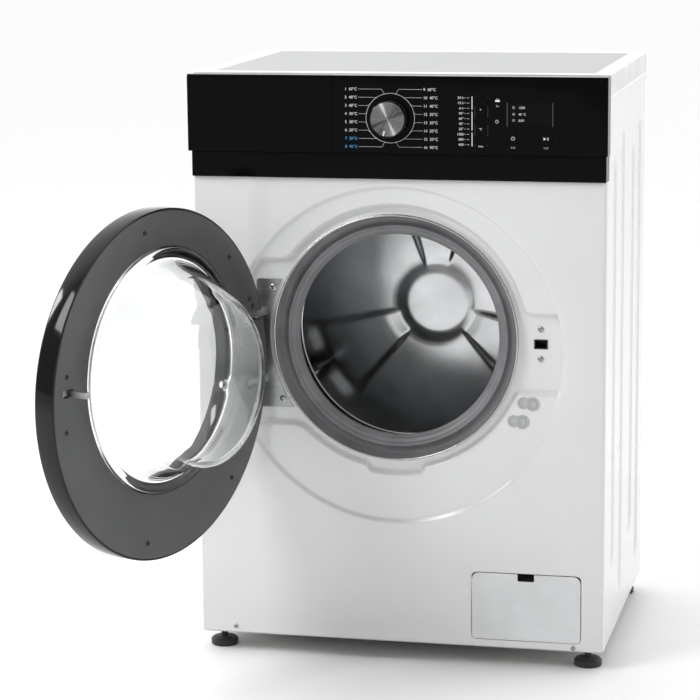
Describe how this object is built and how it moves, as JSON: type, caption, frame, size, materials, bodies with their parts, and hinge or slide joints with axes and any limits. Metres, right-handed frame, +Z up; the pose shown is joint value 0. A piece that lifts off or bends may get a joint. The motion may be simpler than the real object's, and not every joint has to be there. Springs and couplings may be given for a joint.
{
  "type": "front load washing machine",
  "caption": "Slim free-standing front load washing machine: pressed steel cabinet, glass-bowl door standing open, sprung-in tub, drum, belt drive, drawer and filter flap.",
  "frame": {"origin": "on the floor, midway between the side panels and midway between the front and rear panels", "axes": "+Z up, the front with the door faces -Y, +X to the right of someone facing the machine"},
  "size_m": [0.675, 0.9245, 0.845],
  "materials": {
    "white_enamel": "smooth white enamel on sheet steel",
    "galvanised_steel": "galvanised sheet",
    "zinc_fastener": "bright zinc plate",
    "grey_plastic": "moulded polypropylene",
    "black_plastic": "moulded black nylon",
    "white_plastic": "satin white ABS",
    "worktop_laminate": "white laminate on board",
    "gloss_black": "high-gloss black ABS",
    "smoked_window": "smoked window",
    "circuit_board": "green board",
    "hinge_steel": "satin pressed steel",
    "seal_rubber": "grey bellows rubber",
    "spring_steel": "bright drawn steel",
    "cast_weight": "coated casting",
    "motor_metal": "die-cast housing",
    "black_rubber": "black moulded rubber",
    "door_grey": "dark grey textured plastic",
    "door_glass": "clear pressed glass",
    "drum_steel": "stainless drum sheet",
    "cast_aluminium": "cast aluminium",
    "knob_metal": "dark spun metal",
    "cap_grey": "moulded cap"
  },
  "bodies": {
    "cabinet": {"base_frame": "grey_plastic", "side_panel_left": "white_enamel", "side_panel_right": "white_enamel", "rear_panel": "galvanised_steel", "rear_service_cover": "galvanised_steel", "cabinet_screws": "zinc_fastener", "transit_bolt_caps": "grey_plastic", "cable_gland": "black_plastic", "worktop_frame": "white_plastic", "worktop_panel": "worktop_laminate", "front_panel": "white_enamel", "front_crossbar": "galvanised_steel", "control_fascia": "gloss_black", "fascia_lower_strip": "gloss_black", "display_window": "smoked_window", "control_board": "circuit_board", "door_lock": "black_plastic", "hinge_plate": "hinge_steel", "gasket": "seal_rubber", "gasket_clamp": "spring_steel", "tub_front": "grey_plastic", "tub_rear": "grey_plastic", "counterweights": "cast_weight", "bearings": "spring_steel", "shaft_seal": "black_plastic", "heater": "spring_steel", "suspension_springs": "spring_steel", "dampers": "black_plastic", "motor": "motor_metal", "drive_belt": "black_rubber", "drain_pump": "black_plastic", "pump_filter_housing": "grey_plastic", "water_hoses": "black_rubber", "water_connections": "grey_plastic", "dispenser_housing": "grey_plastic", "foot_lock_nuts": "zinc_fastener"},
    "door": {"door_outer_ring": "gloss_black", "door_inner_ring": "door_grey", "door_glass": "door_glass", "door_screws": "zinc_fastener", "hinge_pins": "zinc_fastener"},
    "latch": {"latch_hook": "hinge_steel"},
    "drum": {"drum_shell": "drum_steel", "drum_paddles": "drum_steel", "drum_spider": "cast_aluminium", "drum_pulley": "cast_aluminium"},
    "motor_rotor": {"motor_pulley": "motor_metal"},
    "knob": {"programme_knob": "knob_metal"},
    "temp_button": {"button_temp": "gloss_black"},
    "spin_button": {"button_spin": "gloss_black"},
    "delay_button": {"button_delay": "gloss_black"},
    "power_button": {"button_power": "gloss_black"},
    "start_button": {"button_start": "gloss_black"},
    "drawer": {"detergent_drawer": "gloss_black"},
    "flap": {"filter_flap": "white_plastic"},
    "filter_cap": {"pump_filter_cap": "cap_grey"},
    "foot_fl": {"foot_front_left": "black_rubber"},
    "foot_fr": {"foot_front_right": "black_rubber"},
    "foot_rl": {"foot_rear_left": "black_rubber"},
    "foot_rr": {"foot_rear_right": "black_rubber"}
  },
  "joints": [
    {"name": "door_hinge", "type": "hinge", "parent": "cabinet", "child": "door", "pos_m": [-0.215, -0.255, 0.4575], "axis": [0, 0, 1], "range_deg": [-10, 110]},
    {"name": "latch_pivot", "type": "hinge", "parent": "door", "child": "latch", "pos_m": [-0.34638, -0.6569, 0.469], "axis": [0, 0, 1], "range_deg": [-6, 0], "stiffness_Nm_per_rad": 0.6, "springref_deg": 5.73},
    {"name": "drum_spin", "type": "hinge", "parent": "cabinet", "child": "drum", "pos_m": [-0.003, 0, 0.473], "axis": [0, 1, 0], "continuous": true},
    {"name": "motor_spin", "type": "hinge", "parent": "cabinet", "child": "motor_rotor", "pos_m": [0.06, 0.174, 0.12], "axis": [0, 1, 0], "continuous": true},
    {"name": "programme_select", "type": "hinge", "parent": "cabinet", "child": "knob", "pos_m": [-0.005, -0.24, 0.785], "axis": [0, 1, 0], "continuous": true},
    {"name": "temp_press", "type": "slide", "parent": "cabinet", "child": "temp_button", "axis": [0, 1, 0], "range_m": [0, 0.0012], "stiffness_N_per_m": 300, "springref_m": -0.0008},
    {"name": "spin_press", "type": "slide", "parent": "cabinet", "child": "spin_button", "axis": [0, 1, 0], "range_m": [0, 0.0012], "stiffness_N_per_m": 300, "springref_m": -0.0008},
    {"name": "delay_press", "type": "slide", "parent": "cabinet", "child": "delay_button", "axis": [0, 1, 0], "range_m": [0, 0.0012], "stiffness_N_per_m": 300, "springref_m": -0.0008},
    {"name": "power_press", "type": "slide", "parent": "cabinet", "child": "power_button", "axis": [0, 1, 0], "range_m": [0, 0.0012], "stiffness_N_per_m": 300, "springref_m": -0.0008},
    {"name": "start_press", "type": "slide", "parent": "cabinet", "child": "start_button", "axis": [0, 1, 0], "range_m": [0, 0.0012], "stiffness_N_per_m": 300, "springref_m": -0.0008},
    {"name": "drawer_slide", "type": "slide", "parent": "cabinet", "child": "drawer", "axis": [0, -1, 0], "range_m": [0, 0.15]},
    {"name": "flap_hinge", "type": "hinge", "parent": "cabinet", "child": "flap", "pos_m": [0.1854, -0.2238, 0.043], "axis": [1, 0, 0], "range_deg": [0, 90]},
    {"name": "filter_cap_turn", "type": "hinge", "parent": "cabinet", "child": "filter_cap", "pos_m": [0.185, -0.215, 0.088], "axis": [0, -1, 0], "range_deg": [0, 270]},
    {"name": "foot_fl_turn", "type": "hinge", "parent": "cabinet", "child": "foot_fl", "pos_m": [-0.27, -0.191, 0.02], "axis": [0, 0, 1], "continuous": true},
    {"name": "foot_fr_turn", "type": "hinge", "parent": "cabinet", "child": "foot_fr", "pos_m": [0.27, -0.191, 0.02], "axis": [0, 0, 1], "continuous": true},
    {"name": "foot_rl_turn", "type": "hinge", "parent": "cabinet", "child": "foot_rl", "pos_m": [-0.27, 0.191, 0.02], "axis": [0, 0, 1], "continuous": true},
    {"name": "foot_rr_turn", "type": "hinge", "parent": "cabinet", "child": "foot_rr", "pos_m": [0.27, 0.191, 0.02], "axis": [0, 0, 1], "continuous": true}
  ],
  "couplings": [
    {"joint": "motor_spin", "follows": "drum_spin", "ratio": 12.273}
  ]
}
